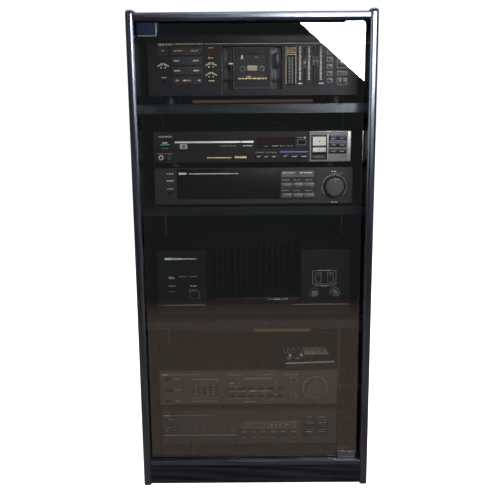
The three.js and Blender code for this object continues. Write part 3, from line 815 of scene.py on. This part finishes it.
def make_cd():
    face = Face("cd_fascia")
    front, foot = face.front, face.bottom
    clad("cd_fascia", "cd_face", 0.5)
    clad("cd_power_key", "black_key", 0.5)
    clad("cd_play_key", "cream_key", 0.7)
    clad("cd_pause_key", "cream_key", 0.7)
    clad("cd_stop_key", "dark_key", 0.5)
    clad("cd_open_key", "cd_face", 0.4)
    clad("cd_tray", "cd_face", 0.4)

    tray = Face("cd_tray")
    tray_ink = Print("cd_tray_print", "cd_disc_tray", tray.front)
    # silver top chamfer of the tray, its brightness partly a painted highlight
    tray_ink.bar("bright_steel", tray.left, tray.right, tray.top - 4.0, tray.top - 0.3, 0.8)
    badge_left = tray.left + 10.8
    tray_ink.bar("pale_ink", badge_left, badge_left + 16, foot + 30, foot + 40.5)
    tray_ink.ring("black_key", badge_left + 8, foot + 35.2, 1.6, 4.0)
    tray_ink.words("grey_ink", -72, -37, foot + 35.8, 1.8, 6)
    tray_ink.finish()
    key = Face("cd_open_key")
    key_ink = Print("cd_open_print", "cd_open", key.front)
    # silver top chamfer of the key, its brightness partly a painted highlight
    key_ink.bar("bright_steel", key.left, key.right, key.top - 4.0, key.top - 0.3, 0.8)
    key_ink.words("white_ink", key.left + 3, key.right - 3, foot + 35.8, 2.4, 7)
    key_ink.finish()

    power = Face("cd_power_key")
    power_ink = Print("cd_power_print", "cd_power", power.front)
    power_ink.bar("green_ink", power.left + 0.6, power.right - 0.6, foot + 38.6, foot + 40.6)
    power_ink.bar("white_ink", power.left + 6, power.right - 6, foot + 42.6, foot + 44.6)
    power_ink.finish()

    ink = Print("cd_print", "cabinet", front, foot)
    ink.lines(
        ("pale_ink", -205.5, -176, 56.5, 3.2, 3.6), ("grey_ink", -199, -185, 31.5, 1.6, 5),
        ("grey_ink", -211, -177, 19.5, 1.5, 6), ("gold_ink", -100.8, -47, 10.2, 2.6, 4.5),
        ("gold_ink", -40, -13.5, 11.0, 4.6, 5))
    ink.bar("gap_and_shadow_black", 2.6, 3.2, 3, 63)
    ink.bar("meter_window", 7.8, 92.9, 29.6, 54.5, 0.1)
    ink.bar("cd_window", 12.5, 88.5, 38.2, 53.0, 0.25)
    ink.outline("black_key", 6.6, 94.2, 28.4, 55.7, 1.0)
    ink.outline("grey_key", 97.4, 115.8, 36.5, 48.2, 1.1)
    ink.bar("meter_window", 98.6, 114.6, 37.7, 47.0, 0.1)
    ink.words("grey_ink", 96.5, 110, 52.8, 1.6, 5)
    ink.dot("white_ink", 113.2, 52.6, 1.7)
    ink.bar("blue_ink", 59.2, 120.4, 20.7, 23.0)
    for x0, x1 in ((5, 24), (28, 36.5), (40, 53)):
        ink.words("grey_ink", x0, x1, 21.2, 2.0, 6)
    for x0, x1 in ((24.2, 34), (41.6, 56.9), (59.1, 70), (74.3, 87.4)):
        ink.words("pale_ink", x0, x1, 34.6, 1.7, 5, 0.3)
    ink.finish()

    small_keys = [(x, x + 14.5) for x in (4.6, 21.2, 37.8)] + [(x, x + 18.5) for x in (60, 80.8, 101.6)]
    raised("cd_small_keys", [(x0, x1, 8, 15.2) for x0, x1 in small_keys], front, foot, 1.8, "black_key", 0.5)
    marks = Print("cd_small_key_print", "cabinet", front - 1.8, foot)
    for i, (x0, x1) in enumerate(small_keys):
        inset = 7 if i == 3 else 3.4
        marks.bar("pale_ink", x0 + inset, x1 - inset, 10.8, 12.4)
    marks.finish()

    # silver end panel with its framed keys
    right_x = 213.6
    raised("cd_silver_end", [
        (124, 127.4, 0.6, 65.9), (162.4, right_x, 0.6, 65.9),
        (127.4, 162.4, 57.6, 65.9), (127.4, 162.4, 0.6, 4.2)],
        front, foot, 0.9, "silver_face", sink=0.4)
    # bright strips at the right and top: silver trim, brightened as a painted highlight of the lit right
    # side
    raised("cd_silver_trim", [
        (206.5, right_x, 0.6, 65.9), (124, 206.5, 65.0, 65.9), (162.6, 164.2, 4, 60)],
        front, foot, 1.1, "silver_trim", 0.1, sink=0.0)
    raised("cd_play_key_bed", [
        (127.4, 129.0, 4.2, 57.6), (160.8, 162.4, 4.2, 57.6), (129.0, 160.8, 31.9, 34.1),
        (129.0, 160.8, 15.7, 20.7), (129.0, 160.8, 55.3, 57.6)],
        front, foot, 0.35, "gap_and_shadow_black", sink=0.2)
    rows = ((43.5, 55.5), (31.6, 40), (18.2, 26.6))
    columns = (166.2, 185.2)
    raised("cd_search_key_wells", [(165.4, 203.9, z0 - 0.7, z1 + 0.7) for z0, z1 in rows],
           front, foot, 1.3, "gap_and_shadow_black", 0.2, sink=-0.6)
    raised("cd_search_keys", [(x, x + 18, z0, z1) for z0, z1 in rows for x in columns],
           front, foot, 3.0, "dark_key", 0.6, sink=-0.8)
    caps_ink = Print("cd_search_print", "cabinet", front - 3.0, foot)
    for z0, z1 in rows:
        for x in columns:
            z = (z0 + z1) / 2
            caps_ink.bar("pale_ink", x + 5, x + 8.5, z - 0.8, z + 0.8)
            caps_ink.bar("pale_ink", x + 10, x + 13, z - 0.8, z + 0.8)
    caps_ink.bar("blue_ink", 167, 202.4, 43.9, 46.0)
    caps_ink.finish()
    for node, body in (("cd_play_key", "cd_play"), ("cd_pause_key", "cd_pause"), ("cd_stop_key", "cd_stop")):
        key = Face(node)
        mark = Print(f"{node}_print", body, key.front)
        if node == "cd_stop_key":
            mark.outline("grey_ink", key.left + 3, key.right - 3, key.z - 2.2, key.z + 2.2, 0.4)
            mark.words("grey_ink", key.left + 5, key.right - 5, key.z, 1.2, 4)
        else:
            mark.bar("black_key", key.x - 1.8, key.x + 1.8, key.z - 0.9, key.z + 0.9)
            mark.outline("gap_and_shadow_black", *key.inset(0.2), 0.9)
        mark.finish()

    make_socket("cd_socket_ring", -201.5, foot + 11.2, front, "bright_steel", 5.4)
    lathe("cd_level_knob", [(5.0, 0), (5.0, 1.0), (3.6, 1.2), (3.6, 7.2), (3.1, 7.8), (0.4, 7.8)],
          (-184, front + 0.2, foot + 11.5), "knob_metal", "cabinet", sides=36)


def make_knob(name, node, body, look, reach, flutes=60):
    """Turned knob with a fluted skirt, a dished face and a pointer line."""
    face = Face(node)
    radius = (face.right - face.left) / 2
    x, z = face.x, face.z
    foot = face.front + reach
    profile = [
        (radius * 0.97, 0), (radius, 0.5), (radius, reach - 2.2), (radius - 0.5, reach - 1.1),
        (radius - 1.6, reach - 0.35), (radius - 2.8, reach - 0.2), (radius - 3.4, reach - 0.7),
        (0.5, reach - 0.55)]
    knob = lathe(name, profile, (x, foot, z), look, body, sides=flutes * 4,
                 flutes=flutes, flute_depth=0.45, flute_span=(1, 2))
    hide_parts(node)
    ink = Print(f"{name}_print", body, foot - reach + 0.45)
    ink.bar("grey_ink", x - 0.5, x + 0.5, z + radius * 0.5, z + radius - 3.6)
    ink.finish()
    return x, z


def make_preamp():
    face = Face("preamp_fascia")
    front, foot = face.front, face.bottom
    clad("preamp_fascia", "preamp_face", 0.5)
    x, z = make_knob("preamp_volume_cap", "preamp_volume_knob", "preamp_volume", "knob_metal", 16)

    soft_box("preamp_centre_panel", (-168.5, front - 0.8, foot + 11.4), (58.8, front + 0.5, foot + 78.2),
             0.4, "preamp_gloss")
    ink = Print("preamp_print", "cabinet", front, foot)
    for low in (67.4, 51.9, 34.2):
        ink.words("white_ink", -190.5, -175.5, low, 1.9, 7)
    ink.bar("gap_and_shadow_black", face.left + 0.5, face.right - 0.5, 10.0, 10.9)
    ink.outline("gap_and_shadow_black", 59.6, 137.2, 10.2, 75.2, 0.9)
    for z0 in (51.0, 27.6):
        for x0 in (64, 89.5, 115):
            ink.words("pale_ink", x0, x0 + 15, z0 + 1.2, 1.5, 7)
    ink.ticks("white_ink", x, z - foot, 25.0, 27.6, -42, 222, 25, 0.9)
    # dark ring round the knob: painted shadow
    ink.ring("gap_and_shadow_black", x, z - foot, 21.2, 24.4)
    ink.words("red_ink", x - 4, x + 20, 66, 1.6, 7)
    ink.words("white_ink", x - 7, x + 6, 70.5, 1.8, 7)
    ink.words("white_ink", x - 7, x + 7, 2.4, 1.6, 6)
    ink.finish()
    gloss = Print("preamp_gloss_print", "cabinet", front - 0.8, foot)
    gloss.lines(
        ("white_ink", -163, -145.5, 67.8, 5.0, 4.2), ("white_ink", -141, -33, 67.2, 2.2, 6))
    gloss.bar("gap_and_shadow_black", -147, 58, 21.6, 22.0)
    gloss.finish()
    rows = ((35.6, 46.1), (12.3, 22.8))
    raised("preamp_selector_keys", [
        (x, x + 23.6, z0, z1) for z0, z1 in rows for x in (61.6, 86.4, 111.2)],
        front, foot, 2.6, "preamp_key", 0.7)
    for body in ("preamp_mode", "preamp_tape"):
        clad(f"{body}_key", "preamp_key", 0.6)
        key = Face(f"{body}_key")
        mark = Print(f"{body}_key_print", body, key.front)
        mark.words("white_ink", key.left + 4, key.right - 5, key.top - 5, 1.9, 9)
        mark.finish()
    make_socket("preamp_socket_ring", -185, foot + 25, front, "dark_key", 4.3)


def make_power_amp():
    base = Face("power_amp_base")
    left = Face("power_amp_left_tower")
    right = Face("power_amp_right_tower")
    clad("power_amp_base", "black_steel", 0.8)
    clad("power_amp_left_tower", "tower_face", 1.2)
    clad("power_amp_right_tower", "tower_face", 1.2)
    clad("power_amp_heat_sink", "heat_sink", 0.25)
    clad("power_amp_power_button", "black_key", 0.6)
    # pale strip along the base's top edge: painted highlight of the ledge
    raised("power_amp_ledge_highlight", [
        (base.left + 0.6, left.right - 2, -1.3, -0.2), (right.left - 18, base.right - 0.6, -1.3, -0.2)],
        base.front, base.top, 0.4, "pale_ink", 0.3, sink=0.8)
    front, foot = left.front, left.bottom
    ink = Print("power_amp_left_print", "cabinet", front, foot)
    ink.bar("white_ink", -201, -184, 104, 108.4)
    ink.lines(
        ("white_ink", -182, -160, 106, 4.6, 5), ("white_ink", -158, -130, 106, 3.0, 7),
        ("orange_ink", -195, -179.5, 60.8, 1.9, 6), ("white_ink", -193, -181.5, 63.8, 1.5, 9),
        ("pale_ink", -170, -152, 65.2, 1.8, 9), ("pale_ink", -145, -129.5, 65.2, 1.8, 9),
        ("pale_ink", -193.5, -177.5, 43.2, 1.9, 9), ("white_ink", -145, -130.5, 43.0, 2.2, 6))
    ink.bar("pale_ink", -148, -127.6, 33.0, 33.8)
    ink.outline("grey_ink", -146.4, -123.2, 13.4, 30.4, 0.5)
    ink.words("grey_ink", -193, -180, 30, 1.4, 6)
    ink.finish()
    front, foot = right.front, right.bottom
    ink = Print("power_amp_right_print", "cabinet", front, foot)
    ink.outline("pale_ink", 133.2, 186.6, 45.2, 77.2, 0.7)
    for x in (141, 168.6):
        ink.outline("pale_ink", x - 1.6, x + 12.2, 49.6, 71.6, 0.5)
    ink.words("white_ink", 147, 173, 77.2, 1.8, 7)
    ink.bar("pale_ink", 138, 182.5, 40.8, 41.5)
    ink.words("white_ink", 152, 169, 41.1, 2.0, 6)
    for x in (136, 184.5):
        ink.ticks("white_ink", x, 25.5, 9.4, 12.2, -50, 230, 11, 0.6)
    ink.finish()
    raised("power_amp_speaker_keys", [(x, x + 10.6, 52, 69.2) for x in (141, 168.6)],
           front, foot, 3, "dark_key", 0.8)
    for side in ("left", "right"):
        make_knob(f"power_amp_level_cap_{side}", f"power_amp_level_knob_{side}", f"power_amp_level_{side}",
                  "grey_key", 11, 24)
    soft_box("power_amp_centre_cover", (left.right + 1.2, front + 3, base.top - 0.5),
             (right.left - 1.2, front + 60, base.top + 14), 1.5, "tower_face")
    ink = Print("power_amp_centre_print", "cabinet", front + 3)
    ink.outline("pale_ink", 30.7, 76.4, base.top + 8.6, base.top + 12.4, 0.6)
    ink.words("white_ink", 46, 62, base.top + 9.4, 1.8, 6)
    ink.finish()


def make_eq_amp():
    face = Face("eq_amp_fascia")
    front, foot = face.front, face.bottom
    clad("eq_amp_fascia", "eq_face", 0.5)
    x, z = make_knob("eq_amp_volume_cap", "eq_amp_volume_knob", "eq_amp_volume", "eq_face", 15)
    ink = Print("eq_amp_print", "cabinet", front, foot)
    ink.ticks("white_ink", x, z - foot, 25.5, 28.6, -50, 230, 25, 0.8)
    ink.bar("pale_ink", -211, -196, 70.4, 73.2)
    ink.lines(
        ("grey_ink", -193, -121.5, 71.6, 1.8, 8), ("grey_ink", -60, -26, 70.5, 1.6, 8),
        ("grey_ink", 8, 42, 70.5, 1.6, 8), ("grey_ink", 66, 100, 70.5, 1.6, 8))
    bands = []
    for band in range(1, 6):
        node = f"eq_amp_band_slider_{band}"
        clad(node, "black_key", 0.6)
        handle = Face(node)
        bands.append(handle.x)
        mark = Print(f"eq_band_print_{band}", f"eq_amp_band_{band}", handle.front)
        mark.bar("red_plastic", handle.left + 1.0, handle.right - 1.0, handle.z - 1.5, handle.z + 1.5, 0.4)
        mark.finish()
        ink.words("grey_ink", handle.x - 4, handle.x + 4, 15, 1.4, 4)
    for a, b in zip(bands, bands[1:]):
        middle = (a + b) / 2
        ink.bar("dark_key", middle - 2.6, middle + 2.6, 18.5, 53.5, 0.5)
        for i in range(10):
            level = 20 + i * 3.6
            ink.bar("pale_ink", middle - 2.3, middle + 2.3, level - 0.5, level + 0.5, 0.6)
    ink.words("pale_ink", bands[0] - 4, bands[4] + 4, 60, 1.5, 7)
    ink.words("pale_ink", bands[0] - 2, bands[4] + 2, 7.5, 1.5, 7)
    for low in (58, 31.6, 5):
        ink.words("pale_ink", -182, -167, low + 3.4, 1.5, 5)
    ink.bar("blue_lamp", -57.3, -46, 49.2, 51.4)
    ink.bar("red_lamp", -35.5, -33.5, 48.6, 52.2)
    for look, x0, x1, level in (
            ("pale_ink", -24, 38, 61.3), ("grey_ink", -60, -30, 42.4), ("pale_ink", -58, -20, 31.6),
            ("white_ink", -12, 4, 31.4), ("pale_ink", 8, 38, 31.6), ("grey_ink", -60, -10, 13.2),
            ("pale_ink", -24, 4, 5.7), ("pale_ink", 14, 24, 23), ("pale_ink", 43, 54, 23)):
        ink.words(look, x0, x1, level, 1.7, 6)
    ink.bar("pale_ink", 48.6, 49.3, 42, 58)
    ink.outline("grey_ink", 16, 66, 9, 38.4, 0.6)
    ink.bar("grey_ink", 40, 40.6, 9.6, 28)
    for level in (56, 21):
        ink.ticks("pale_ink", 88.8, level, 6.6, 9.2, -50, 230, 9, 0.8)
    ink.finish()
    raised("eq_amp_left_keys", [(-204, -188, z, z + 6.6) for z in (58, 31.6, 5)],
           front, foot, 2.6, "dark_key", 0.7)
    raised("eq_amp_function_keys", [
        (x, x + 16, z, z + 7) for z in (34.6, 16.6) for x in (-60, -38, -16, 6, 28, 50)],
        front, foot, 2.6, "dark_key", 0.7)
    for name, level in (("balance", 56), ("tone", 21)):
        lathe(f"eq_amp_{name}_knob", [(5.4, 0), (5.4, 9), (4.8, 9.8), (0.4, 9.6)],
              (88.8, front + 0.2, foot + level), "eq_face", "cabinet",
              sides=72, flutes=18, flute_depth=0.3, flute_span=(0, 1))


def make_tuner():
    face = Face("tuner_fascia")
    front, foot = face.front, face.bottom
    clad("tuner_fascia", "tuner_face", 0.5)
    clad("tuner_preset_bar", "dark_key", 0.5)
    ink = Print("tuner_print", "cabinet", front, foot)
    ink.bar("pale_ink", -210, -195, 69.4, 72.2)
    ink.words("grey_ink", -192, -94, 71, 1.7, 8)
    bar = Face("tuner_preset_bar")
    preset_highlight = Print("tuner_preset_print", "tuner_preset", bar.front)
    # pale line along the bar: painted highlight
    preset_highlight.bar("pale_ink", bar.left + 1, bar.right - 1, bar.bottom + 2.2, bar.bottom + 4.0)
    preset_highlight.finish()
    for i in range(10):
        x = bar.left + 8 + i * (bar.right - bar.left - 16) / 9
        ink.bar("pale_ink", x - 0.7, x + 0.7, 32.8, 35.4)
    ink.bar("amber_window", -34.6, 98.9, 36.3, 57.6, 0.25)
    ink.outline("black_key", -36, 100.3, 34.9, 59, 1.2)
    stations = (-25, -2.5, 19.7, 43.7, 66, 89)
    tuning = [(x, z) for x in (111.4, 141.6) for z in (19, 41)]
    for x in stations:
        ink.words("pale_ink", x - 6, x + 6, 29.4, 1.6, 7)
        ink.words("grey_ink", x - 5, x + 5, 15, 1.4, 7)
    ink.lines(
        ("grey_ink", -200, -184, 61, 1.5, 6), ("grey_ink", -206, -192, 41, 1.5, 6))
    for x0 in (112, 142):
        ink.words("pale_ink", x0 + 6, x0 + 20, 65.4, 1.6, 7)
    ink.finish()
    glass = Print("tuner_window_print", "cabinet", front - 0.25, foot)
    glass.outline("grey_ink", -30, 22, 40, 52, 0.5)
    glass.outline("grey_ink", 28, 94, 40, 52, 0.5)
    for x in (36, 46, 56, 70):
        glass.words("grey_ink", x, x + 5, 46, 4.0, 5)
    glass.finish()
    raised("tuner_station_keys", [(x - 8, x + 8, 19.5, 25) for x in stations],
           front, foot, 2.4, "dark_key", 0.6)
    raised("tuner_tuning_keys", [(x, x + 28, z, z + 19.5) for x, z in tuning],
           front, foot, 2.8, "dark_key", 1.0)
    caps = Print("tuner_tuning_print", "cabinet", front - 2.8, foot)
    for x, z in tuning:
        caps.words("pale_ink", x + 5, x + 23, z + 11, 1.5, 8)
        caps.bar("grey_ink", x + 2, x + 26, z + 15.8, z + 16.5)
    caps.finish()


def make_mixer():
    """Wedge with knobs, faders and a window, turned a few degrees on top of the amplifier."""
    clad("mixer_body", "black_key", 0.8)
    low, high = (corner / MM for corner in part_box("mixer_body"))
    middle = Vector(((low[0] + high[0]) / 2, (low[1] + high[1]) / 2, high[2]))
    turned = Matrix.Rotation(math.radians(5), 4, "Z")
    on_top = Matrix.Translation(middle * MM) @ turned

    def set_down(name, pieces, round_by, look):
        bm = bmesh.new()
        for a, b in pieces:
            add_box(bm, a, b, round_by)
        bmesh.ops.transform(bm, matrix=on_top, verts=bm.verts)
        from_bmesh(name, bm, look, "cabinet")

    set_down("mixer_window", [((-4, -6, -0.3), (52, 46, 0.6))], 0.4, "mixer_window")
    set_down("mixer_window_lines", [
        ((x, -3, 0.5), (x + 1.5, 43, 0.8)) for x in (10, 24, 38)], 0.0, "dark_key")
    set_down("mixer_marks", [
        ((x, y, -0.3), (x + 2.4, y + 2.0, 0.2)) for x in range(-50, -9, 8) for y in (24, 12, -22)],
        0.0, "pale_ink")
    # pale strips along the front edge: painted highlight
    set_down("mixer_front_edge_highlight", [
        ((-56, -56.5, -2.0), (2, -53.0, 0.2)), ((3, -56.5, -2.0), (56, -53.0, 0.2))], 0.3, "pale_ink")
    set_down("mixer_buttons", [
        ((x, 34, -0.3), (x + 5, 39, 1.6)) for x in range(-52, -15, 12)], 0.6, "pale_key")
    set_down("mixer_faders", [((x, -34, -0.3), (x + 9, -28, 3.5)) for x in (-50, -30)], 0.8, "pale_key")
    upright = Matrix.Rotation(math.radians(-90), 4, "X")
    for index, x in enumerate((-40, -14)):
        bm = bmesh.new()
        add_lathe(bm, [(3.4, 0), (3.3, 4.5), (2.8, 5.2), (0.4, 5.2)], (0, 0, 0), sides=32)
        spot = Matrix.Translation((middle - Vector((0, 0, 0.3))) * MM) @ turned
        spot = spot @ Matrix.Translation(Vector((x, -12, 0)) * MM)
        bmesh.ops.transform(bm, matrix=spot @ upright, verts=bm.verts)
        from_bmesh(f"mixer_knob_{index + 1}", bm, "pale_ink", "cabinet")


make_looks()
make_camera()
make_world()
make_stage()
make_room_behind()
make_lights()
make_cabinet()
make_door()
make_cases()
make_deck()
make_cd()
make_preamp()
make_power_amp()
make_eq_amp()
make_tuner()
make_mixer()

bpy.context.scene.view_settings.view_transform = "Standard"
